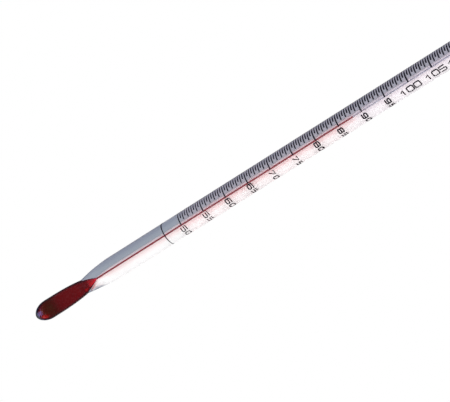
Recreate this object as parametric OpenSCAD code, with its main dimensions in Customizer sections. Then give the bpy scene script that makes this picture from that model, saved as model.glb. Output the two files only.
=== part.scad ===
// Laboratory thermometer of the solid-stem kind: a red spirit column in a glass capillary.
// The stem stands on Z with the bulb down. Z = 0 is the immersion line, on the axis of the stem.
// The scale faces -Y, with its numbers on the +X side, and the white enamel stripe lies behind it, at +Y.
// Heights named h are measured upwards from the lowest point of the bulb.

/* [Stem] */
// Overall length, bulb tip to rounded top
overall_l = 203; // [190:0.5:320]
// Diameter of the glass stem
stem_d = 6.3; // [6:0.1:8]
// Diameter of the capillary bore
bore_d = 0.28; // [0.2:0.02:0.4]
// Height of the fire-polished dome at the top
dome_h = 2.5; // [1.5:0.1:3.2]

/* [Bulb and neck] */
// Largest diameter of the bulb
bulb_d = 5.3; // [4.8:0.1:6]
// Length of the bulb, tip to neck
bulb_l = 16.5; // [14:0.1:18]
// Length of the pointed round of the bulb's tip
bulb_tip_l = 4.3; // [3:0.1:5]
// Diameter where the bulb is drawn onto the stem
neck_d = 4.05; // [3.9:0.05:4.6]
// Length over which the stem swells from the neck to its full diameter
shoulder_l = 10.2; // [7:0.1:14]
// Thickness of the bulb's side wall
bulb_wall = 0.4; // [0.3:0.05:0.6]
// Thickness of the sealed tip
tip_wall = 1; // [0.6:0.1:1.4]
// Thickness of the glass round the liquid at the neck
neck_wall = 0.6; // [0.5:0.05:0.7]
// Diameter of the throat where the bulb's inside has closed in to the funnel
throat_d = 1.9; // [1.4:0.1:2.2]
// Height of that throat above the neck
throat_h = 0.9; // [0.6:0.1:1.4]
// Height above the neck at which the funnel has narrowed to the bore
funnel_l = 4.85; // [4:0.05:5]

/* [Expansion chamber] */
// Widest diameter of the chamber at the end of the bore
chamber_d = 1.4; // [1:0.1:2]
// Height of the chamber above the bore
chamber_h = 5; // [4:0.1:7]
// Glass between the chamber and the top of the stem
chamber_cover = 5; // [4:0.5:8]

/* [White backing] */
// Angle that the enamel stripe covers, seen from the axis
backing_angle = 72; // [50:1:110]
// Clear glass outside the stripe
backing_cover = 0.25; // [0.15:0.05:0.4]
// Thickness of the stripe
backing_t = 0.25; // [0.15:0.05:0.3]
// Height of the stripe's lower end
backing_from_h = 17.7; // [17.5:0.1:19.4]
// Radius of the stripe's lower end, where it is drawn in with the neck
drawn_in_r = 1.45; // [1.4:0.05:1.6]
// Height at which the stripe begins to swell from that radius
drawn_in_below_h = 19.4; // [19:0.1:20.5]
// Height from which it lies close under the surface of the stem
drawn_in_to_h = 24.8; // [24:0.1:26.5]
// Height of clear glass left above the stripe
backing_top_gap = 3; // [2.8:0.1:6]

/* [Scale] */
// Immersion depth: height of the ring mark
immersion_depth = 45; // [40:0.5:48]
// Lowest line, in degrees
first_degree = 50; // [50:1:50]
// Highest line, in degrees
last_degree = 130; // [100:5:130]
// Height of the lowest line
first_line_h = 50.6; // [50:0.1:56]
// Height of one degree at the lowest line
degree_pitch = 1.468; // [1.2:0.001:1.5]
// Lengthening for each degree squared, because the spirit swells faster when it is warm
pitch_growth = 0.0003; // [0:0.0001:0.0008]
// Length of the degree lines upwards along the stem, that is their stroke
line_w = 0.33; // [0.15:0.01:0.4]
// Stroke of the immersion ring
ring_w = 0.28; // [0.2:0.01:0.4]
// Thickness of the fired-on pigment
ink_t = 0.03; // [0.02:0.01:0.05]

/* [Spirit column] */
// Temperature that the column shows, in degrees
reading = 87.7; // [80:0.1:130]
// Gap between the column and the wall of the bore
column_gap = 0.01; // [0.01:0.005:0.02]
// Length of the meniscus at the head of the column
meniscus_l = 0.3; // [0.2:0.05:0.5]

/* [Hidden] */
$fn = 96;

stem_r = stem_d / 2;
bore_r = bore_d / 2;
bulb_r = bulb_d / 2;
neck_r = neck_d / 2;
chamber_r = chamber_d / 2;
column_r = bore_r - column_gap;

// Heights of the forms along the stem
neck_h = bulb_l;
shoulder_top_h = neck_h + shoulder_l;
funnel_top_h = neck_h + funnel_l;
dome_from_h = overall_l - dome_h;
chamber_top_h = overall_l - chamber_cover;
chamber_from_h = chamber_top_h - chamber_h;
backing_top_h = overall_l - backing_top_gap;
reading_h = degree_h(reading);

// Shape of the curves: below 2 a round is more pointed than an ellipse
tip_fullness = 1.8;
dome_fullness = 2.2;
barrel_power = 2.4;
shoulder_power = 1.6;
curve_steps = 12;

// Reach of the marks round the stem, in degrees from the front, towards the side without numbers.
// All degree lines start at the same far edge, and the longer ones come further round to the numbers.
lines_far = 74;
line_5_near = -33;
line_1_near = -14;
line_half_near = 0;
ring_near = -118;

// Height of the line for a temperature
function degree_h(t) =
  let (n = t - first_degree)
  first_line_h + degree_pitch * n + pitch_growth * n * n;

// Radius along a closing round of length l and radius r, at the share u from its tip
function round_r(r, u, fullness) = r * pow(max(0, 1 - (1 - u) * (1 - u)), 1 / fullness);

// Points of the bulb, tip to neck: a pointed round, then a barrel that draws in to the neck
function bulb_outline(tip_h, r, neck) =
  let (tip_l = bulb_tip_l - (tip_h > 0 ? bulb_wall : 0), side_h = tip_h + tip_l)
  concat(
    [for (i = [0 : curve_steps]) let (u = 1 - cos(90 * i / curve_steps))
      [round_r(r, u, tip_fullness), tip_h + tip_l * u]],
    [for (i = [1 : curve_steps]) let (u = i / curve_steps)
      [neck + (r - neck) * (1 - pow(u, barrel_power)), side_h + (neck_h - side_h) * u]]
  );

// Radius of the stem's outline at a height, from the neck upwards
function stem_outline_r(h) =
  let (u = min(1, (h - neck_h) / shoulder_l))
  neck_r + (stem_r - neck_r) * (1 - pow(1 - u, shoulder_power));

// Points of the swelling shoulder, from the neck up to the full diameter
function shoulder_points() =
  [for (i = [0 : curve_steps]) let (h = neck_h + shoulder_l * i / curve_steps)
    [stem_outline_r(h), h]];

// Outer radius of the enamel stripe: drawn in at its lower end, then close under the surface
function backing_r(h) =
  let (u = min(1, max(0, (h - drawn_in_below_h) / (drawn_in_to_h - drawn_in_below_h))))
  drawn_in_r + (stem_outline_r(h) - backing_cover - drawn_in_r) * u * u * (3 - 2 * u);

// Points of one face of the stripe, from its lower end up to where the stem is straight
function backing_points(inset) =
  [for (i = [0 : 2 * curve_steps])
    let (h = backing_from_h + (shoulder_top_h - backing_from_h) * i / (2 * curve_steps))
    [backing_r(h) - inset, h]];

function reversed(list) = [for (i = [len(list) - 1 : -1 : 0]) list[i]];

// Puts what is built upwards from the bulb's tip where the immersion line is Z = 0
module from_bulb_tip() {
  translate([0, 0, -immersion_depth])
    children();
}

module revolved(points) {
  from_bulb_tip()
    rotate_extrude()
      polygon(points);
}

// Section of the space for the liquid: reservoir, throat and funnel
module liquid_section_below_bore() {
  polygon(concat(
    bulb_outline(tip_wall, bulb_r - bulb_wall, neck_r - neck_wall),
    [[throat_d / 2, neck_h + throat_h], [bore_r, funnel_top_h], [0, funnel_top_h]]
  ));
}

// Section of the space above it: capillary bore and expansion chamber
module bore_section() {
  polygon(concat(
    [[0, funnel_top_h], [bore_r, funnel_top_h], [bore_r, chamber_from_h]],
    [for (i = [curve_steps / 2 : curve_steps]) let (u = i / curve_steps)
      [bore_r + (chamber_r - bore_r) * (1 - cos(360 * (u - 0.5))) / 2,
       chamber_from_h + (chamber_h - chamber_r) * (2 * u - 1)]],
    [for (i = [1 : curve_steps / 2]) let (a = 90 * i / (curve_steps / 2))
      [chamber_r * cos(a), chamber_top_h - chamber_r * (1 - sin(a))]]
  ));
}

// The clear rod, drawn in to the neck below and fire-polished to a dome above
module stem_glass() {
  color([0.78, 0.84, 0.88, 0.45])
    difference() {
      from_bulb_tip()
        rotate_extrude()
          difference() {
            polygon(concat(
              [[0, neck_h]],
              shoulder_points(),
              [for (i = [0 : curve_steps]) let (u = 1 - sin(90 * i / curve_steps))
                [round_r(stem_r, u, dome_fullness), overall_l - dome_h * u]]
            ));
            liquid_section_below_bore();
            bore_section();
          }
      backing_solid();
    }
}

// The thin reservoir blown on the end of the stem
module bulb_glass() {
  color([0.80, 0.86, 0.90, 0.5])
    from_bulb_tip()
      rotate_extrude()
        difference() {
          polygon(concat(bulb_outline(0, bulb_r, neck_r), [[0, neck_h]]));
          liquid_section_below_bore();
        }
}

// The opal glass stripe sealed under the rear of the stem, which is drawn in with the shoulder
module backing_solid() {
  section = concat(
    backing_points(0),
    [[stem_r - backing_cover, backing_top_h], [stem_r - backing_cover - backing_t, backing_top_h]],
    reversed(backing_points(backing_t))
  );
  from_bulb_tip()
    rotate([0, 0, 90 - backing_angle / 2])
      rotate_extrude(angle = backing_angle)
        polygon(section);
}

module enamel_backing() {
  color([0.97, 0.97, 0.96])
    backing_solid();
}

// Dyed spirit that fills the reservoir and narrows to the bore
module bulb_liquid() {
  color([0.52, 0.05, 0.08])
    from_bulb_tip()
      rotate_extrude()
        liquid_section_below_bore();
}

// The column in the bore, from the funnel to just under its head
module capillary_thread() {
  color([0.75, 0.08, 0.12])
    from_bulb_tip()
      translate([0, 0, funnel_top_h])
        cylinder(h = reading_h - meniscus_l - funnel_top_h, r = column_r);
}

// Head of the column: spirit wets the glass, so its top is dished
module meniscus() {
  color([0.70, 0.06, 0.10])
    from_bulb_tip()
      translate([0, 0, reading_h - meniscus_l])
        difference() {
          cylinder(h = meniscus_l, r = column_r);
          translate([0, 0, meniscus_l])
            sphere(r = column_r * 0.8);
        }
}

// A fired line on the surface of the stem, between two angles from the front
module fired_line(h, near, far, w) {
  from_bulb_tip()
    translate([0, 0, h - w / 2])
      rotate([0, 0, 270 - far])
        rotate_extrude(angle = far - near)
          translate([stem_r, 0])
            square([ink_t, w]);
}

module immersion_line() {
  color([0.18, 0.20, 0.26])
    fired_line(immersion_depth, ring_near, lines_far, ring_w);
}

module lines_5_degree() {
  color([0.10, 0.10, 0.16])
    for (t = [first_degree : 5 : last_degree])
      fired_line(degree_h(t), line_5_near, lines_far, line_w);
}

module lines_1_degree() {
  color([0.10, 0.10, 0.16])
    for (t = [first_degree : last_degree])
      if ((t - first_degree) % 5 != 0)
        fired_line(degree_h(t), line_1_near, lines_far, line_w);
}

module lines_half_degree() {
  color([0.10, 0.10, 0.16])
    for (t = [first_degree : last_degree - 1])
      fired_line(degree_h(t + 0.5), line_half_near, lines_far, line_w);
}

stem_glass();
bulb_glass();
enamel_backing();
bulb_liquid();
capillary_thread();
meniscus();
immersion_line();
lines_5_degree();
lines_1_degree();
lines_half_degree();
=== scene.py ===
import math

import bpy
from mathutils import Matrix, Vector


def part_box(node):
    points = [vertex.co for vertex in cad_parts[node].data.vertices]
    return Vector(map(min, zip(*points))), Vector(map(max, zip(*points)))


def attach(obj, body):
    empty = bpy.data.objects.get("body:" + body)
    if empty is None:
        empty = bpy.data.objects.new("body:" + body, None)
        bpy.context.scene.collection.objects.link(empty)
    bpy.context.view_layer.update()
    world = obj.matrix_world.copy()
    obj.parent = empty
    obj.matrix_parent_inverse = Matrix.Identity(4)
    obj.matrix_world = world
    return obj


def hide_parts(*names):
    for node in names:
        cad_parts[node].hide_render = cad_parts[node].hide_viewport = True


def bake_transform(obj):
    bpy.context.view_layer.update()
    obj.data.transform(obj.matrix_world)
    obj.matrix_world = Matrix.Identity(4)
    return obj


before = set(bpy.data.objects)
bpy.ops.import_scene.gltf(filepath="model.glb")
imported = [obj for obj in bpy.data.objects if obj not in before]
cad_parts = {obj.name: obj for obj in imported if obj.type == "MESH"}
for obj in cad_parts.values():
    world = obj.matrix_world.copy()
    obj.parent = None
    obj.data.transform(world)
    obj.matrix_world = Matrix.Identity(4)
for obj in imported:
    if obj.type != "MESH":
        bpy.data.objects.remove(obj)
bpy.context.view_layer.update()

scene = bpy.context.scene

# Laboratory thermometer: glass, enamel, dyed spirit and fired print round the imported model.
# Everything is in metres, in the frame of the CAD model. Z runs up the stem and is 0 at the
# immersion line, the scale faces -Y, the numbers are on the +X side and the enamel is at +Y.

MM = 0.001

# Sizes of the stem, taken from the CAD nodes where they can be measured
STEM_R = 3.15 * MM
BORE_R = 0.14 * MM
IMMERSION = 45.0 * MM
TIP_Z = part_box("bulb_glass")[0].z
NECK_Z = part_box("bulb_glass")[1].z
TOP_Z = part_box("stem_glass")[1].z
FUNNEL_TOP_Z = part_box("bulb_liquid")[1].z
HEAD_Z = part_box("meniscus")[1].z
MENISCUS_L = HEAD_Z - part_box("meniscus")[0].z

# Glass envelope. The bulb sits a hair off the axis, to an angle from the front.
BULB_R = 2.67 * MM
BULB_TIP_L = 4.3 * MM
TIP_RIM_L = 2.0 * MM
NECK_R = 2.025 * MM
SHOULDER_L = 10.2 * MM
DOME_H = 2.5 * MM
BULB_WALL = 0.4 * MM
TIP_WALL = 1.0 * MM
NECK_WALL = 0.6 * MM
THROAT_R = 1.1 * MM
THROAT_H = 0.9 * MM
FUNNEL_POWER = 1.3
BORE_FROM_FUNNEL = 0.05 * MM
TIP_FULLNESS = 1.8
DOME_FULLNESS = 2.2
BARREL_POWER = 3.0
SHOULDER_POWER = 1.6
BULB_ASIDE = 0.12 * MM
BULB_ASIDE_TOWARD = math.radians(121)
BULB_ASIDE_FADE_L = 5.0 * MM
CHAMBER_R = 0.7 * MM
CHAMBER_H = 5.0 * MM
CHAMBER_COVER = 5.0 * MM

# Spirit in the bore. It wets the wall and is let into the funnel, and its head is dished.
THREAD_IN_WALL = 0.001 * MM
THREAD_IN_FUNNEL = 0.1 * MM
DISH_SHARE = 0.7

# Enamel stripe
BACKING_HALF_ANGLE = math.radians(36)
BACKING_COVER = 0.25 * MM
BACKING_T = 0.25 * MM
DRAWN_IN_R = 1.45 * MM
DRAWN_IN_BELOW_H = 19.4 * MM
DRAWN_IN_TO_H = 24.8 * MM

# Scale. Angles go round the stem from the front: positive to the side with the numbers. The
# lines run from LINES_FAR to LINE_NEAR and thin out from FULL_WIDTH_FROM back to THIN_TO.
FIRST_DEGREE = 50
LAST_DEGREE = 130
NUMBER_STEP = 5
FIRST_LONG_NUMBER = 100
FIRST_LINE_H = 50.6 * MM
DEGREE_PITCH = 1.468 * MM
PITCH_GROWTH = 0.0003 * MM
LINES_FAR = math.radians(-74)
LINE_NEAR = {"5": math.radians(33), "1": math.radians(14), "half": math.radians(0)}
RING_NEAR = math.radians(118)
LINE_W = {"5": 0.38 * MM, "1": 0.35 * MM, "half": 0.36 * MM}
BOLDER_PER_DEGREE = 0.007
PLAIN_DEGREE = 75
BOLDEST_DEGREE = 100
FULL_WIDTH_FROM = math.radians(-18)
THIN_TO = math.radians(-44)
THIN_SHARE = 0.3
RING_W_FAR = 0.42 * MM
RING_W_NEAR = 0.16 * MM
INK_PROUD = 0.02 * MM
INK_SUNK = 0.006 * MM
# Where the painted lilac tint and painted veil along the scale fade in at its start, and how far across
# the stem the painted tint fades
PAINTED_LIGHT_FADE_L = 2.0 * MM
PAINTED_TINT_FADE_X = 0.6 * STEM_R

# Numbers. Those of two figures are read across the stem and those of three along it. Some are
# printed a little off their row or off their line.
FIGURE_STROKE = 0.36 * MM
FIGURE_CORNER = 0.45 * MM
SHORT_NUMBER_W = math.radians(32.5)
SHORT_NUMBER_H = 1.75 * MM
SHORT_NUMBER_GAP = math.radians(6)
SHORT_NUMBER_START = math.radians(37.5)
SHORT_NUMBER_SKEW = math.radians(0.14)
NUMBERS_OFF_ROW = {65: math.radians(-4), 70: math.radians(-2), 80: math.radians(-5)}
NUMBERS_OFF_LINE = {70: -0.3 * MM, 75: -0.15 * MM, 80: -0.35 * MM, 85: -0.25 * MM, 105: 0.55 * MM}
LONG_NUMBERS_DOWN = 0.45 * MM
LONG_NUMBER_W = 2.15 * MM
LONG_NUMBER_H = math.radians(39)
LONG_NUMBER_GAP = 0.1 * MM
LONG_NUMBER_TOP = math.radians(47.7)
GAP_AFTER_ONE = 0.55 * MM
ONE_W = 0.6

# Painted light and shade in the spirit's colour: heights above the bulb's tip between which the painted
# spots there give way to painted bands, and the length that the bands are spread over
SPOTS_TO_H = 2.9 * MM
BANDS_FROM_H = 3.7 * MM
SPIRIT_BANDS_L = 20.0 * MM

# Glass and spirit as lenses, and the height of the faint waves in the glass
WAVE_H = 0.02 * MM
GLASS_IOR = 1.5
SPIRIT_IOR = 1.36

# Fineness of the meshes, and the radius below which an outline is closed in one point
ROUND_STEPS = 192
CURVE_STEPS = 24
NARROW_STEPS = 48
THREAD_RINGS = 40
DISH_STEPS = 8
LINE_STEPS = 60
RING_STEPS = 80
CORNER_STEPS = 6
CLOSED_R = 1e-9


def boldness(t):
    """The print is a little fainter at the start of the scale and bolder towards 100."""
    return 1 + BOLDER_PER_DEGREE * (min(t, BOLDEST_DEGREE) - PLAIN_DEGREE)


def degree_z(t):
    """Height of the line for a temperature."""
    n = t - FIRST_DEGREE
    return FIRST_LINE_H + DEGREE_PITCH * n + PITCH_GROWTH * n * n - IMMERSION


def round_r(r, u, fullness):
    """Radius along a closing round, at the share u of its length from the tip."""
    return r * max(0.0, 1 - (1 - u) ** 2) ** (1 / fullness)


def bulb_profile(tip_z, tip_l, r, neck_r):
    """Radius and height of the bulb's outline, tip to neck."""
    side_z = tip_z + tip_l
    points = []
    for i in range(CURVE_STEPS + 1):
        u = 1 - math.cos(math.pi / 2 * i / CURVE_STEPS)
        points.append((round_r(r, u, TIP_FULLNESS), tip_z + tip_l * u))
    for i in range(1, CURVE_STEPS + 1):
        u = i / CURVE_STEPS
        barrel_r = neck_r + (r - neck_r) * (1 - u**BARREL_POWER)
        points.append((barrel_r, side_z + (NECK_Z - side_z) * u))
    return points


def stem_profile_r(z):
    """Radius of the stem's outline from the neck up to the full diameter."""
    u = min(1.0, (z - NECK_Z) / SHOULDER_L)
    return NECK_R + (STEM_R - NECK_R) * (1 - (1 - u) ** SHOULDER_POWER)


def shoulder_profile(from_z):
    """Radius and height along the shoulder, up to where the stem is straight."""
    to_z = NECK_Z + SHOULDER_L
    heights = [from_z + (to_z - from_z) * i / CURVE_STEPS for i in range(CURVE_STEPS + 1)]
    return [(stem_profile_r(z), z) for z in heights]


def new_piece(name, vertices, faces, material, body="root"):
    """A smooth mesh object with one material that rides on a body, if one is given."""
    mesh = bpy.data.meshes.new(name)
    mesh.from_pydata(vertices, [], faces)
    mesh.validate()
    mesh.polygons.foreach_set("use_smooth", [True] * len(mesh.polygons))
    mesh.materials.append(material)
    piece = bpy.data.objects.new(name, mesh)
    scene.collection.objects.link(piece)
    if body:
        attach(piece, body)
    return piece


def revolved(profile, flip=False, steps=ROUND_STEPS):
    """Vertices and faces of a profile turned round Z. A point with no radius closes the end."""
    vertices, faces, rings = [], [], []
    for r, z in profile:
        if r < CLOSED_R:
            rings.append([len(vertices)])
            vertices.append((0.0, 0.0, z))
            continue
        rings.append(list(range(len(vertices), len(vertices) + steps)))
        for k in range(steps):
            a = 2 * math.pi * k / steps
            vertices.append((r * math.cos(a), r * math.sin(a), z))
    for low, high in zip(rings, rings[1:]):
        for k in range(steps):
            n = (k + 1) % steps
            if len(low) == 1:
                face = (low[0], high[n], high[k])
            elif len(high) == 1:
                face = (low[k], low[n], high[0])
            else:
                face = (low[k], low[n], high[n], high[k])
            faces.append(tuple(reversed(face)) if flip else face)
    return vertices, faces


def joined(*meshes):
    """Several lists of vertices and faces as one."""
    vertices, faces = [], []
    for more, round_them in meshes:
        start = len(vertices)
        vertices += more
        faces += [tuple(start + i for i in face) for face in round_them]
    return vertices, faces


def on_stem(angle, r, z):
    """A point by its angle from the front, radius and height."""
    return (r * math.sin(angle), -r * math.cos(angle), z)


def bulb_aside(vertices):
    """The bulb moved a hair off the stem's axis, where the glassblower left it."""
    moved = []
    for x, y, z in vertices:
        u = min(1.0, max(0.0, (FUNNEL_TOP_Z - z) / BULB_ASIDE_FADE_L))
        dx, dy, _ = on_stem(BULB_ASIDE_TOWARD, BULB_ASIDE * u * u * (3 - 2 * u), 0)
        moved.append((x + dx, y + dy, z))
    return moved


def swept_band(section, start, stop, steps):
    """A closed section of radius and height points, turned from one angle to another and capped."""
    vertices, faces = [], []
    count = len(section)
    for k in range(steps + 1):
        a = start + (stop - start) * k / steps
        vertices += [on_stem(a, r, z) for r, z in section]
    for k in range(steps):
        for i in range(count):
            j = (i + 1) % count
            a, b = k * count, (k + 1) * count
            faces.append((a + i, a + j, b + j, b + i))
    faces.append(tuple(range(count - 1, -1, -1)))
    faces.append(tuple(steps * count + i for i in range(count)))
    return vertices, faces


# Materials


def new_material(name):
    """A material with a Principled shader, its tree and that shader."""
    material = bpy.data.materials.new(name)
    material.use_nodes = True
    shader = material.node_tree.nodes["Principled BSDF"]
    return material, material.node_tree, shader


def object_noise(tree, scale, detail=3.0, stretch=(1, 1, 1)):
    """Noise that stays with the object, stretched along its axes."""
    place = tree.nodes.new("ShaderNodeTexCoord")
    mapping = tree.nodes.new("ShaderNodeMapping")
    mapping.inputs["Scale"].default_value = stretch
    noise = tree.nodes.new("ShaderNodeTexNoise")
    noise.inputs["Scale"].default_value = scale
    noise.inputs["Detail"].default_value = detail
    tree.links.new(place.outputs["Object"], mapping.inputs["Vector"])
    tree.links.new(mapping.outputs["Vector"], noise.inputs["Vector"])
    return noise


def ramp_of(tree, value, stops):
    """The colour that a ramp through several colours gives for a value."""
    ramp = tree.nodes.new("ShaderNodeValToRGB")
    elements = ramp.color_ramp.elements
    for i, (position, colour) in enumerate(stops):
        element = elements[i] if i < 2 else elements.new(position)
        element.position = position
        element.color = (*colour, 1)
    tree.links.new(value, ramp.inputs["Fac"])
    return ramp.outputs["Color"]


def two_colours(tree, noise, low, high):
    """A colour between two others, driven by noise."""
    return ramp_of(tree, noise.outputs["Fac"], [(0.35, low), (0.65, high)])


def multiplied(tree, first, second):
    """The product of two colours."""
    mix = tree.nodes.new("ShaderNodeMix")
    mix.data_type = "RGBA"
    mix.blend_type = "MULTIPLY"
    mix.inputs["Factor"].default_value = 1.0
    colours = [socket for socket in mix.inputs if socket.type == "RGBA"]
    tree.links.new(first, colours[0])
    tree.links.new(second, colours[1])
    return next(socket for socket in mix.outputs if socket.type == "RGBA")


def mixed_colour(tree, share, low, high):
    """A colour between two others, each a constant or the output of a node."""
    mix = tree.nodes.new("ShaderNodeMix")
    mix.data_type = "RGBA"
    tree.links.new(share, mix.inputs["Factor"])
    sockets = [socket for socket in mix.inputs if socket.type == "RGBA"]
    for socket, colour in zip(sockets, (low, high)):
        if isinstance(colour, tuple):
            socket.default_value = (*colour, 1)
        else:
            tree.links.new(colour, socket)
    return next(socket for socket in mix.outputs if socket.type == "RGBA")


def share_along(tree, axis, low, high):
    """A value that goes from 0 to 1 between two places on an axis of the object."""
    place = tree.nodes.new("ShaderNodeTexCoord")
    split = tree.nodes.new("ShaderNodeSeparateXYZ")
    share = tree.nodes.new("ShaderNodeMapRange")
    share.inputs["From Min"].default_value = low
    share.inputs["From Max"].default_value = high
    tree.links.new(place.outputs["Object"], split.inputs["Vector"])
    tree.links.new(split.outputs[axis], share.inputs["Value"])
    return share.outputs["Result"]


def soft_bump(tree, noise, strength, distance):
    """Shallow waves of a surface, after noise."""
    bump = tree.nodes.new("ShaderNodeBump")
    bump.inputs["Strength"].default_value = strength
    bump.inputs["Distance"].default_value = distance
    tree.links.new(noise.outputs["Fac"], bump.inputs["Height"])
    return bump


def absorbing(tree, colour, density):
    """Light taken off inside a clear body."""
    volume = tree.nodes.new("ShaderNodeVolumeAbsorption")
    volume.inputs["Color"].default_value = (*colour, 1)
    volume.inputs["Density"].default_value = density
    tree.links.new(volume.outputs["Volume"], tree.nodes["Material Output"].inputs["Volume"])


def open_to_lamps(tree, shader, colour):
    """Rays from lamps pass a clear surface straight, so that they reach what is behind it."""
    path = tree.nodes.new("ShaderNodeLightPath")
    through = tree.nodes.new("ShaderNodeBsdfTransparent")
    through.inputs["Color"].default_value = (*colour, 1)
    mix = tree.nodes.new("ShaderNodeMixShader")
    tree.links.new(path.outputs["Is Shadow Ray"], mix.inputs[0])
    tree.links.new(shader.outputs[0], mix.inputs[1])
    tree.links.new(through.outputs[0], mix.inputs[2])
    tree.links.new(mix.outputs[0], tree.nodes["Material Output"].inputs["Surface"])


def print_haze(tree):
    """A painted lilac tint of the light seen through the glass along the scale, clear on the side of the
    far ends.
    """
    clear, lilac, pale = (1.0, 1.0, 1.0), (1.0, 0.915, 0.92), (1.0, 0.94, 0.99)
    height = share_along(tree, "Z", degree_z(FIRST_DEGREE) - PAINTED_LIGHT_FADE_L, degree_z(LAST_DEGREE))
    along = ramp_of(tree, height, [(0.0, clear), (0.03, lilac), (0.42, lilac), (0.52, pale)])
    return mixed_colour(tree, share_along(tree, "X", -PAINTED_TINT_FADE_X, PAINTED_TINT_FADE_X), clear, along)


def print_veil(tree, glass):
    """A thin pink matt layer over the glass along the scale, painted light that brightens and reddens the
    glass there.
    """
    low, high = degree_z(FIRST_DEGREE) - PAINTED_LIGHT_FADE_L, degree_z(LAST_DEGREE) + PAINTED_LIGHT_FADE_L
    none, thin = (0.0, 0.0, 0.0), (0.025, 0.025, 0.025)
    stops = [(0.0, none), (0.03, thin), (0.97, thin), (1.0, none)]
    share = ramp_of(tree, share_along(tree, "Z", low, high), stops)
    veil = tree.nodes.new("ShaderNodeBsdfDiffuse")
    veil.inputs["Color"].default_value = (1.0, 0.5, 0.55, 1)
    mix = tree.nodes.new("ShaderNodeMixShader")
    tree.links.new(share, mix.inputs[0])
    tree.links.new(glass.outputs[0], mix.inputs[1])
    tree.links.new(veil.outputs[0], mix.inputs[2])
    return mix


def edge_on(tree):
    """A value that rises from 0 where a surface faces the viewer to 1 where it is seen edge on."""
    edge = tree.nodes.new("ShaderNodeLayerWeight")
    edge.inputs["Blend"].default_value = 0.5
    return edge.outputs["Facing"]


def dark_rim(tree):
    """Painted dark navy shade where the thick wall round the bulb's tip is seen edge on."""
    clear, navy = (1.0, 1.0, 1.0), (0.03, 0.03, 0.09)
    rim = ramp_of(tree, edge_on(tree), [(0.35, clear), (0.6, navy)])
    fade = share_along(tree, "Z", TIP_Z + TIP_RIM_L, TIP_Z + BULB_TIP_L)
    return mixed_colour(tree, fade, rim, clear)


def bore_tint(tree):
    """Painted blue-grey shade on the narrow bore's wall, which darkens the line that the empty bore
    shows.
    """
    grain = object_noise(tree, 900.0)
    return two_colours(tree, grain, (0.48, 0.52, 0.68), (0.52, 0.56, 0.72))


def clear_glass(name, shade, colour_of, reflection=(1.0, 1.0, 1.0), veiled=False):
    """Clear glass. The shade is what one of its surfaces leaves of a lamp's light."""
    material, tree, shader = new_material(name)
    tree.links.new(colour_of(tree), shader.inputs["Base Color"])
    shader.inputs["Specular Tint"].default_value = (*reflection, 1)
    shader.inputs["Roughness"].default_value = 0.0
    shader.inputs["IOR"].default_value = GLASS_IOR
    shader.inputs["Transmission Weight"].default_value = 1.0
    waves = object_noise(tree, 220.0, 2.0, (1, 1, 0.12))
    bump = soft_bump(tree, waves, 0.05, WAVE_H)
    tree.links.new(bump.outputs["Normal"], shader.inputs["Normal"])
    open_to_lamps(tree, print_veil(tree, shader) if veiled else shader, shade)
    return material


def dyed_spirit():
    """The liquid in the bulb, red from its dye, with painted light and shade. Its IOR is that of spirit
    seen from inside glass.
    """
    material, tree, shader = new_material("dyed_spirit")
    clouds = two_colours(tree, object_noise(tree, 400.0), (0.93, 0.93, 0.93), (1.0, 1.0, 1.0))
    # Painted highlights at the tip: violet is a painted blue highlight on the side away from the numbers,
    # and crimson leaves the other side untinted for the bright red spot
    bright, crimson, violet = (1.0, 0.65, 0.85), (1.0, 1.0, 1.0), (0.4, 0.45, 1.0)
    # Painted light and shade along the bulb: brown is a painted dark shade near the tip, maroon a painted
    # darker band at the neck and bright a painted bright band at the funnel, with the body's red between
    red, brown, maroon = (0.75, 0.32, 0.4), (0.34, 0.45, 0.25), (0.5, 0.35, 0.45)
    height = share_along(tree, "Z", TIP_Z, TIP_Z + SPIRIT_BANDS_L)
    bands = [(0.3, brown), (0.42, red), (0.74, red), (0.8, maroon), (0.9, maroon), (0.93, bright)]
    tip = ramp_of(tree, share_along(tree, "X", -BULB_R, BULB_R), [(0.45, violet), (0.6, crimson)])
    tip_share = share_along(tree, "Z", TIP_Z + SPOTS_TO_H, TIP_Z + BANDS_FROM_H)
    depth = mixed_colour(tree, tip_share, tip, ramp_of(tree, height, bands))
    # Painted dark edges where the spirit is seen edge on
    edges = ramp_of(tree, edge_on(tree), [(0.24, (1.0, 1.0, 1.0)), (0.36, (0.25, 0.25, 0.4))])
    shade = multiplied(tree, multiplied(tree, clouds, depth), edges)
    tree.links.new(shade, shader.inputs["Base Color"])
    shader.inputs["Roughness"].default_value = 0.0
    shader.inputs["IOR"].default_value = SPIRIT_IOR / GLASS_IOR
    shader.inputs["Transmission Weight"].default_value = 0.985
    absorbing(tree, (0.954, 0.0, 0.1), 4000.0)
    open_to_lamps(tree, shader, (0.75, 0.5, 0.5))
    return material


def dyed_thread():
    """The same spirit in the bore, which shows as a plain red line."""
    material, tree, shader = new_material("dyed_thread")
    shade = two_colours(tree, object_noise(tree, 900.0), (0.19, 0.037, 0.046), (0.26, 0.050, 0.062))
    tree.links.new(shade, shader.inputs["Base Color"])
    shader.inputs["Roughness"].default_value = 0.6
    shader.inputs["Specular IOR Level"].default_value = 0.1
    open_to_lamps(tree, shader, (1.0, 0.12, 0.18))
    return material


def share_of_half_width(tree):
    """A value that rises from 0 on the middle of the enamel stripe to 1 on its edges."""
    place = tree.nodes.new("ShaderNodeTexCoord")
    split = tree.nodes.new("ShaderNodeSeparateXYZ")
    angle = tree.nodes.new("ShaderNodeMath")
    angle.operation = "ARCTAN2"
    size = tree.nodes.new("ShaderNodeMath")
    size.operation = "ABSOLUTE"
    share = tree.nodes.new("ShaderNodeMapRange")
    share.inputs["From Max"].default_value = BACKING_HALF_ANGLE
    tree.links.new(place.outputs["Object"], split.inputs["Vector"])
    tree.links.new(split.outputs["X"], angle.inputs[0])
    tree.links.new(split.outputs["Y"], angle.inputs[1])
    tree.links.new(angle.outputs[0], size.inputs[0])
    tree.links.new(size.outputs[0], share.inputs["Value"])
    return share.outputs["Result"]


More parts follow.
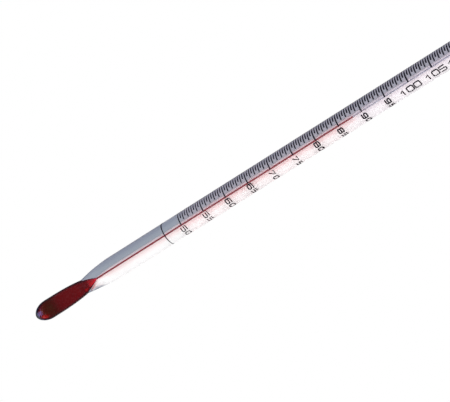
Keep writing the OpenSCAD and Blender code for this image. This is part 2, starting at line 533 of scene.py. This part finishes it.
def opal_enamel():
    """White glass, greyer towards the edges of the stripe."""
    material, tree, shader = new_material("opal_enamel")
    streaks = object_noise(tree, 900.0, 4.0, (1, 1, 0.06))
    shade = two_colours(tree, streaks, (0.90, 0.90, 0.90), (0.95, 0.95, 0.95))
    white, pale, grey = (1.0, 1.0, 1.0), (0.9, 0.9, 0.9), (0.62, 0.62, 0.68)
    edges = ramp_of(tree, share_of_half_width(tree), [(0.66, white), (0.77, pale), (0.93, grey)])
    tree.links.new(multiplied(tree, shade, edges), shader.inputs["Base Color"])
    shader.inputs["Roughness"].default_value = 0.7
    shader.inputs["Specular IOR Level"].default_value = 0.0
    return material


def fired_pigment():
    """Nearly black pigment, fired on, with a fine grain."""
    material, tree, shader = new_material("fired_pigment")
    grain = object_noise(tree, 6000.0, 4.0)
    shade = two_colours(tree, grain, (0.006, 0.006, 0.010), (0.022, 0.020, 0.030))
    tree.links.new(shade, shader.inputs["Base Color"])
    rough = tree.nodes.new("ShaderNodeMapRange")
    rough.inputs["To Min"].default_value = 0.6
    rough.inputs["To Max"].default_value = 0.85
    shader.inputs["Specular IOR Level"].default_value = 0.15
    tree.links.new(grain.outputs["Fac"], rough.inputs["Value"])
    tree.links.new(rough.outputs["Result"], shader.inputs["Roughness"])
    return material


# The stem's glass carries a painted lilac tint and a painted pink veil of light along the scale.
GLASS = clear_glass("clear_glass", (0.97, 0.97, 0.97), print_haze, veiled=True)
# The tip's glass carries a painted dark rim, and its blue mirror tint colours the bright place it mirrors
# as a painted blue highlight.
TIP_GLASS = clear_glass("tip_glass", (0.97, 0.97, 0.97), dark_rim, (0.1, 0.28, 1.0))
# The bore's wall carries a painted blue-grey shade.
BORE_WALL = clear_glass("bore_wall", (0.80, 0.72, 0.80), bore_tint)
SPIRIT = dyed_spirit()
THREAD = dyed_thread()
ENAMEL = opal_enamel()
INK = fired_pigment()


# Glass envelope: bulb and stem are one fused body, with the bore and its expansion chamber inside


def dome_profile():
    """Radius and height of the rounded top, up to its point on the axis."""
    points = []
    for i in range(CURVE_STEPS):
        u = 1 - math.sin(math.pi / 2 * i / CURVE_STEPS)
        points.append((round_r(STEM_R, u, DOME_FULLNESS), TOP_Z - DOME_H * u))
    points.append((0.0, TOP_Z))
    return points


def bore_profile():
    """The empty space in the stem: bore, then the chamber that takes an overrun of the spirit."""
    chamber_top = TOP_Z - CHAMBER_COVER
    chamber_from = chamber_top - CHAMBER_H
    bore_from = FUNNEL_TOP_Z + BORE_FROM_FUNNEL
    points = [(0.0, bore_from), (BORE_R, bore_from), (BORE_R, chamber_from)]
    for i in range(1, CURVE_STEPS + 1):
        u = i / CURVE_STEPS
        r = BORE_R + (CHAMBER_R - BORE_R) * (1 - math.cos(math.pi * u)) / 2
        points.append((r, chamber_from + (CHAMBER_H - CHAMBER_R) * u))
    for i in range(1, CURVE_STEPS):
        a = math.pi / 2 * i / CURVE_STEPS
        points.append((CHAMBER_R * math.cos(a), chamber_top - CHAMBER_R * (1 - math.sin(a))))
    points.append((0.0, chamber_top))
    return points


def make_glass():
    """The envelope, with its own materials at the bulb's tip and on the wall of the bore."""
    outside = bulb_profile(TIP_Z, BULB_TIP_L, BULB_R, NECK_R)
    outside += shoulder_profile(NECK_Z)[1:]
    outside += dome_profile()
    outer_mesh = revolved(outside)
    bore_mesh = revolved(bore_profile(), flip=True, steps=NARROW_STEPS)
    vertices, faces = joined(outer_mesh, bore_mesh)
    piece = new_piece("glass_envelope", bulb_aside(vertices), faces, GLASS)
    piece.data.materials.append(TIP_GLASS)
    piece.data.materials.append(BORE_WALL)
    tip_slot, bore_slot = 1, 2
    for polygon in piece.data.polygons[:CURVE_STEPS * ROUND_STEPS]:
        polygon.material_index = tip_slot
    for polygon in piece.data.polygons[len(outer_mesh[1]):]:
        polygon.material_index = bore_slot
    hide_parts("stem_glass", "bulb_glass")


def make_bulb_liquid():
    """The spirit that fills the bulb, the throat and the funnel up to the bore."""
    liquid_r, throat_from_r = BULB_R - BULB_WALL, NECK_R - NECK_WALL
    profile = bulb_profile(TIP_Z + TIP_WALL, BULB_TIP_L - BULB_WALL, liquid_r, throat_from_r)
    throat_z = NECK_Z + THROAT_H
    profile.append((THROAT_R, throat_z))
    for i in range(1, CURVE_STEPS + 1):
        u = i / CURVE_STEPS
        funnel_r = THROAT_R + (BORE_R - THROAT_R) * u**FUNNEL_POWER
        profile.append((funnel_r, throat_z + (FUNNEL_TOP_Z - throat_z) * u))
    profile.append((0.0, FUNNEL_TOP_Z))
    vertices, faces = revolved(profile)
    piece = new_piece("spirit_in_bulb", bulb_aside(vertices), faces, SPIRIT)
    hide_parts("bulb_liquid")


def make_column():
    """The spirit in the bore, with rings along it because it stretches with the temperature."""
    r = BORE_R + THREAD_IN_WALL
    dish_h = DISH_SHARE * r
    below_head = HEAD_Z - MENISCUS_L
    start = FUNNEL_TOP_Z - THREAD_IN_FUNNEL
    profile = [(0.0, start)]
    for i in range(THREAD_RINGS + 1):
        profile.append((r, start + (below_head - start) * i / THREAD_RINGS))
    for i in range(DISH_STEPS):
        a = math.pi / 2 * i / DISH_STEPS
        profile.append((r * math.cos(a), HEAD_Z - dish_h * math.sin(a)))
    profile.append((0.0, HEAD_Z - dish_h))
    vertices, faces = revolved(profile, steps=NARROW_STEPS)
    piece = new_piece("red_thread", vertices, faces, THREAD, body=None)
    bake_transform(piece)
    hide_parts("capillary_thread", "meniscus")


def backing_r(z):
    """Outer radius of the stripe: drawn in with the neck at its lower end, then close to the surface."""
    u = (z + IMMERSION - DRAWN_IN_BELOW_H) / (DRAWN_IN_TO_H - DRAWN_IN_BELOW_H)
    u = min(1.0, max(0.0, u))
    return DRAWN_IN_R + (stem_profile_r(z) - BACKING_COVER - DRAWN_IN_R) * u * u * (3 - 2 * u)


def make_enamel():
    """The white stripe inside the rear of the stem."""
    from_z, top_z = (corner.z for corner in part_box("enamel_backing"))
    outer = [(backing_r(z), z) for _, z in shoulder_profile(from_z)]
    outer.append((STEM_R - BACKING_COVER, top_z))
    inner = [(r - BACKING_T, z) for r, z in outer]
    section = inner + outer[::-1]
    start, stop = math.pi - BACKING_HALF_ANGLE, math.pi + BACKING_HALF_ANGLE
    vertices, faces = swept_band(section, start, stop, NARROW_STEPS)
    piece = new_piece("enamel_stripe", vertices, faces, ENAMEL)
    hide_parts("enamel_backing")


# Fired print


def stroke(path, width, closed=False):
    """A printed stroke along points of angle and height, as a thin solid on the stem.

    The width is one value or a list with a width for each point.
    """
    count = len(path)
    flat = [(a * STEM_R, z) for a, z in path]
    widths = width if isinstance(width, list) else [width] * count
    low_r, high_r = STEM_R - INK_SUNK, STEM_R + INK_PROUD
    corners = ((1, low_r), (1, high_r), (-1, high_r), (-1, low_r))
    ring = len(corners)
    vertices, faces = [], []
    for i, (x, y) in enumerate(flat):
        before = flat[i - 1] if closed or i > 0 else flat[0]
        after = flat[(i + 1) % count] if closed or i < count - 1 else flat[-1]
        dx, dy = after[0] - before[0], after[1] - before[1]
        length = math.hypot(dx, dy)
        side = (-dy / length * widths[i] / 2, dx / length * widths[i] / 2)
        for sign, r in corners:
            vertices.append(on_stem((x + sign * side[0]) / STEM_R, r, y + sign * side[1]))
    for i in range(count if closed else count - 1):
        a, b = ring * i, ring * ((i + 1) % count)
        for j in range(ring):
            k = (j + 1) % ring
            faces.append((a + j, b + j, b + k, a + k))
    if not closed:
        last = ring * (count - 1)
        faces.append(tuple(range(ring)))
        faces.append(tuple(last + j for j in reversed(range(ring))))
    return vertices, faces


def fired_line(z, near, width_at, steps=LINE_STEPS):
    """A line round the stem from the far ends of the lines to an angle, with a width for each angle."""
    angles = [LINES_FAR + (near - LINES_FAR) * i / steps for i in range(steps + 1)]
    return stroke([(a, z) for a in angles], [width_at(a) for a in angles])


def line_share(angle):
    """Share of a line's full width that is left at an angle: the print thins out to the far side."""
    u = min(1.0, max(0.0, (angle - THIN_TO) / (FULL_WIDTH_FROM - THIN_TO)))
    return THIN_SHARE + (1 - THIN_SHARE) * u


def ring_width(angle):
    """Width of the ring, which thins out to the side of the numbers."""
    return RING_W_FAR + (RING_W_NEAR - RING_W_FAR) * (angle - LINES_FAR) / (RING_NEAR - LINES_FAR)


def make_lines(name, temperatures, kind, node):
    """One piece with all the scale lines of a kind."""
    lines = []
    for t in temperatures:
        width = LINE_W[kind] * boldness(t)
        lines.append(fired_line(degree_z(t), LINE_NEAR[kind], lambda a: width * line_share(a)))
    vertices, faces = joined(*lines)
    piece = new_piece(name, vertices, faces, INK)
    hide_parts(node)


def make_print():
    """The lines of the scale and the ring at the immersion depth."""
    whole = range(FIRST_DEGREE, LAST_DEGREE + 1)
    numbered = [t for t in whole if t % NUMBER_STEP == 0]
    between = [t for t in whole if t % NUMBER_STEP]
    make_lines("five_degree_lines", numbered, "5", "lines_5_degree")
    make_lines("one_degree_lines", between, "1", "lines_1_degree")
    make_lines("half_degree_lines", [t + 0.5 for t in whole[:-1]], "half", "lines_half_degree")
    vertices, faces = fired_line(0.0, RING_NEAR, ring_width, RING_STEPS)
    ring = new_piece("ring_mark", vertices, faces, INK)
    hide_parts("immersion_line")


# Figures as paths in a box that is 1 wide and 1 high. True marks a closed path. The corners are
# rounded, apart from those that SHARP names by their place in the path.
FIGURES = {
    "0": [(True, [(0, 0), (1, 0), (1, 1), (0, 1)])],
    "1": [(False, [(0, 0.66), (0.72, 1), (0.72, 0)])],
    "2": [(False, [(0, 0.96), (1, 1), (1, 0.5), (0, 0.5), (0, 0), (1, 0)])],
    "3": [(False, [(0, 1), (1, 1), (1, 0.52), (0.4, 0.52)]), (False, [(1, 0.46), (1, 0), (0, 0)])],
    "5": [(False, [(0.95, 1), (0, 1), (0, 0.56), (1, 0.56), (1, 0), (0, 0)])],
    "6": [(False, [(1, 0.86), (1, 1), (0, 1), (0, 0.5)]), (True, [(0, 0), (1, 0), (1, 0.56), (0, 0.56)])],
    "7": [(False, [(0, 1), (1, 1), (0.15, 0)])],
    "8": [(True, [(0, 0), (1, 0), (1, 0.53), (0, 0.53)]), (True, [(0, 0.53), (1, 0.53), (1, 1), (0, 1)])],
    "9": [(False, [(0, 0.14), (0, 0), (1, 0), (1, 0.5)]), (True, [(1, 1), (0, 1), (0, 0.44), (1, 0.44)])],
}
SHARP = {"1": [1], "7": [1], "5": [1, 2]}


def rounded(points, radius, closed, sharp):
    """A path with curves in place of its corners."""
    count = len(points)
    path = []
    for i, point in enumerate(points):
        if (not closed and i in (0, count - 1)) or i in sharp:
            path.append(point)
            continue
        here = Vector(point)
        to_last = Vector(points[i - 1]) - here
        to_next = Vector(points[(i + 1) % count]) - here
        reach = min(radius, 0.5 * to_last.length, 0.5 * to_next.length)
        start, stop = here + to_last.normalized() * reach, here + to_next.normalized() * reach
        for k in range(CORNER_STEPS + 1):
            u = k / CORNER_STEPS
            bent = (1 - u) ** 2 * start + 2 * u * (1 - u) * here + u**2 * stop
            path.append((bent.x, bent.y))
    return path


def figure(sign, width, height, line_w, place):
    """Strokes of one figure. place turns its flat coordinates in metres into an angle and a height."""
    meshes = []
    wide = width * (ONE_W if sign == "1" else 1) - line_w
    high = height - line_w
    for n, (closed, points) in enumerate(FIGURES[sign]):
        flat = [(x * wide + line_w / 2, y * high + line_w / 2) for x, y in points]
        path = rounded(flat, FIGURE_CORNER, closed, SHARP.get(sign, ()))
        meshes.append(stroke([place(x, y) for x, y in path], line_w, closed))
    return meshes


def short_number(t):
    """Two figures side by side round the stem, upright when the bulb is down."""
    start = SHORT_NUMBER_START + SHORT_NUMBER_SKEW * (t - FIRST_DEGREE)
    start += NUMBERS_OFF_ROW.get(t, 0)
    low = degree_z(t) + NUMBERS_OFF_LINE.get(t, 0) - SHORT_NUMBER_H / 2
    meshes = []
    for i, sign in enumerate(str(t)):
        left = start + i * (SHORT_NUMBER_W + SHORT_NUMBER_GAP)
        meshes += figure(
            sign,
            SHORT_NUMBER_W * STEM_R,
            SHORT_NUMBER_H,
            FIGURE_STROKE * boldness(t),
            lambda x, y: (left + x / STEM_R, low + y),
        )
    return meshes


def long_number(t):
    """Three figures one after the other up the stem, with their tops to the lines."""
    signs = str(t)
    widths = [LONG_NUMBER_W * (ONE_W if s == "1" else 1) for s in signs]
    gaps = [LONG_NUMBER_GAP + (GAP_AFTER_ONE if s == "1" else 0) for s in signs[:-1]]
    middle = degree_z(t) + NUMBERS_OFF_LINE.get(t, 0) - LONG_NUMBERS_DOWN
    low = middle - (sum(widths) + sum(gaps)) / 2
    meshes = []
    for i, sign in enumerate(signs):
        left = low + sum(widths[:i]) + sum(gaps[:i])
        bottom = LONG_NUMBER_TOP + LONG_NUMBER_H
        meshes += figure(
            sign,
            LONG_NUMBER_W,
            LONG_NUMBER_H * STEM_R,
            FIGURE_STROKE,
            lambda x, y: (bottom - y / STEM_R, left + x),
        )
    return meshes


def make_numbers():
    """All the numbers of the scale as one piece."""
    meshes = []
    for t in range(FIRST_DEGREE, LAST_DEGREE + 1, NUMBER_STEP):
        meshes += short_number(t) if t < FIRST_LONG_NUMBER else long_number(t)
    vertices, faces = joined(*meshes)
    numbers = new_piece("scale_numbers", vertices, faces, INK)


# Stage, light and camera


CAMERA_AZIMUTH = math.radians(31)
CAMERA_ELEVATION = math.radians(19)
CAMERA_DISTANCE = 1.0
AIM_Z = 18.54 * MM
AIM_RIGHT = 0.79 * MM
STEM_SLOPE = math.radians(32.26)
FOCAL_PIXELS = 3754
IMAGE_WIDTH = 450
SENSOR_WIDTH = 36.0
CAMERA_CLIP = 0.01
AMBIENT = 0.6
FLOOR_R = 0.6
FLOOR_DROP = 0.45
FLOOR_STEPS = 64


def make_camera():
    """The stem points up to the right, its top end a little nearer than the bulb."""
    azimuth, elevation = CAMERA_AZIMUTH, CAMERA_ELEVATION
    right = Vector((math.cos(azimuth), math.sin(azimuth), 0))
    back = Vector((
        math.sin(azimuth) * math.cos(elevation),
        -math.cos(azimuth) * math.cos(elevation),
        math.sin(elevation),
    ))
    along_stem = back.cross(right)
    image_right = along_stem * math.cos(STEM_SLOPE) + right * math.sin(STEM_SLOPE)
    image_up = back.cross(image_right)
    data = bpy.data.cameras.new("camera")
    data.sensor_width = SENSOR_WIDTH
    data.lens = SENSOR_WIDTH * FOCAL_PIXELS / IMAGE_WIDTH
    data.clip_start = CAMERA_CLIP
    camera = bpy.data.objects.new("camera", data)
    turn = Matrix((image_right, image_up, back)).transposed()
    aim = Vector((0, 0, AIM_Z)) + right * AIM_RIGHT
    camera.matrix_world = Matrix.Translation(aim + back * CAMERA_DISTANCE) @ turn.to_4x4()
    scene.collection.objects.link(camera)
    scene.camera = camera


def make_world():
    """White to the camera, even light on the object, and a blue-grey surround that shows in the glass."""
    world = bpy.data.worlds.new("studio")
    world.use_nodes = True
    scene.world = world
    tree = world.node_tree
    tree.nodes.clear()
    output = tree.nodes.new("ShaderNodeOutputWorld")
    path = tree.nodes.new("ShaderNodeLightPath")
    place = tree.nodes.new("ShaderNodeTexCoord").outputs["Generated"]

    def background(colour, strength=1.0):
        """A plain surround."""
        node = tree.nodes.new("ShaderNodeBackground")
        node.inputs["Color"].default_value = (*colour, 1)
        node.inputs["Strength"].default_value = strength
        return node

    def mixed(share, low, high):
        """One surround where the share is 0 and another where it is 1."""
        node = tree.nodes.new("ShaderNodeMixShader")
        tree.links.new(share, node.inputs[0])
        tree.links.new(low.outputs[0], node.inputs[1])
        tree.links.new(high.outputs[0], node.inputs[2])
        return node

    def share_between(value, low, high):
        """A smooth rise from 0 to 1 between two values."""
        node = tree.nodes.new("ShaderNodeMapRange")
        node.interpolation_type = "SMOOTHSTEP"
        node.inputs["From Min"].default_value = low
        node.inputs["From Max"].default_value = high
        tree.links.new(value, node.inputs["Value"])
        return node.outputs["Result"]

    def toward(azimuth, elevation):
        """Cosine of the angle to a direction. Azimuth 0 is straight behind, positive to the numbers."""
        a, e = math.radians(azimuth) - CAMERA_AZIMUTH, math.radians(elevation)
        direction = (math.sin(a) * math.cos(e), math.cos(a) * math.cos(e), math.sin(e))
        node = tree.nodes.new("ShaderNodeVectorMath")
        node.operation = "DOT_PRODUCT"
        node.inputs[1].default_value = direction
        tree.links.new(place, node.inputs[0])
        return node.outputs["Value"]

    def patch(azimuth, elevation, full, none):
        """Share that is 1 within one angle of a direction and 0 beyond another, in degrees."""
        low, high = math.cos(math.radians(none)), math.cos(math.radians(full))
        return share_between(toward(azimuth, elevation), low, high)

    def by_direction(stops):
        """A background that changes from the front, at 0, to behind the object, at 1."""
        node = background((1, 1, 1))
        share = tree.nodes.new("ShaderNodeMapRange")
        share.inputs["From Min"].default_value = -1.0
        tree.links.new(toward(0, 0), share.inputs["Value"])
        tree.links.new(ramp_of(tree, share.outputs["Result"], stops), node.inputs["Color"])
        return node

    def before_matt(ray):
        """1 for rays of a kind that no matt surface has scattered yet, and 0 for the others."""
        node = tree.nodes.new("ShaderNodeMath")
        node.operation = "GREATER_THAN"
        tree.links.new(path.outputs[ray], node.inputs[0])
        tree.links.new(path.outputs["Diffuse Depth"], node.inputs[1])
        return node.outputs[0]

    white = background((1, 1, 1))
    light = background((1, 1, 1), AMBIENT)

    # What is seen through the glass: blue-grey, with a pale place behind the thermometer that
    # shows as the red spot in the tip
    through = by_direction([
        (0.2, (0.07, 0.08, 0.10)),
        (0.75, (0.25, 0.275, 0.36)),
        (0.89, (0.285, 0.316, 0.395)),
        (0.95, (0.325, 0.362, 0.43)),
    ])
    pale = background((1, 1, 1), 0.85)
    through = mixed(patch(azimuth=-17, elevation=-10, full=4, none=11), through, pale)

    # What the glass mirrors: nearly black, with a bright place that shows as the blue spot in
    # the tip and a pale one that lightens the lower rim
    mirrored = by_direction([(0.2, (0.03, 0.03, 0.04)), (0.99, (0.08, 0.09, 0.12))])
    bright = background((0.7, 0.8, 1.0), 3.4)
    mirrored = mixed(patch(azimuth=-165, elevation=-68, full=12, none=29), mirrored, bright)
    rim = background((1, 1, 1), 0.8)
    mirrored = mixed(patch(azimuth=24, elevation=-19, full=10, none=20), mirrored, rim)

    shown = mixed(before_matt("Is Glossy Ray"), light, mirrored)
    shown = mixed(before_matt("Is Transmission Ray"), shown, through)
    final = mixed(path.outputs["Is Camera Ray"], shown, white)
    tree.links.new(final.outputs[0], output.inputs["Surface"])


def make_floor():
    """A plain pale floor well below the held stem, white to the camera apart from shadow."""
    z = TIP_Z - FLOOR_DROP
    angles = [2 * math.pi * k / FLOOR_STEPS for k in range(FLOOR_STEPS)]
    rim = [(FLOOR_R * math.cos(a), FLOOR_R * math.sin(a), z) for a in angles]
    mesh = bpy.data.meshes.new("floor")
    mesh.from_pydata(rim, [], [tuple(range(FLOOR_STEPS))])
    material, tree, shader = new_material("floor")
    shade = two_colours(tree, object_noise(tree, 4.0), (0.80, 0.80, 0.80), (0.82, 0.82, 0.82))
    tree.links.new(shade, shader.inputs["Base Color"])
    shader.inputs["Roughness"].default_value = 0.9
    shader.inputs["Specular IOR Level"].default_value = 0.0
    path = tree.nodes.new("ShaderNodeLightPath")
    tree.links.new(path.outputs["Is Camera Ray"], shader.inputs["Emission Strength"])
    shader.inputs["Emission Color"].default_value = (0.3, 0.3, 0.3, 1)
    mesh.materials.append(material)
    floor = bpy.data.objects.new("floor", mesh)
    floor.visible_glossy = False
    scene.collection.objects.link(floor)


def make_lamp(name, azimuth, elevation, distance, size, power, aim_z):
    """A soft lamp at an azimuth from the front and an elevation, which lights but isn't seen."""
    a, e = math.radians(azimuth), math.radians(elevation)
    toward = Vector((math.sin(a) * math.cos(e), -math.cos(a) * math.cos(e), math.sin(e)))
    data = bpy.data.lights.new(name, "AREA")
    data.shape = "ELLIPSE"
    data.size, data.size_y = size
    data.energy = power
    lamp = bpy.data.objects.new(name, data)
    lamp.location = Vector((0, 0, aim_z)) + toward * distance
    lamp.rotation_mode = "QUATERNION"
    lamp.rotation_quaternion = toward.to_track_quat("Z", "Y")
    lamp.visible_glossy = False
    lamp.visible_transmission = False
    scene.collection.objects.link(lamp)


make_glass()
make_bulb_liquid()
make_column()
make_enamel()
make_print()
make_numbers()
make_camera()
make_world()
make_floor()
make_lamp("key", azimuth=29.5, elevation=0, distance=0.6, size=(0.18, 0.5), power=3.35, aim_z=0.17)
make_lamp("back", azimuth=205, elevation=10, distance=0.6, size=(0.3, 0.5), power=2.0, aim_z=0.06)

scene.view_settings.view_transform = "Standard"
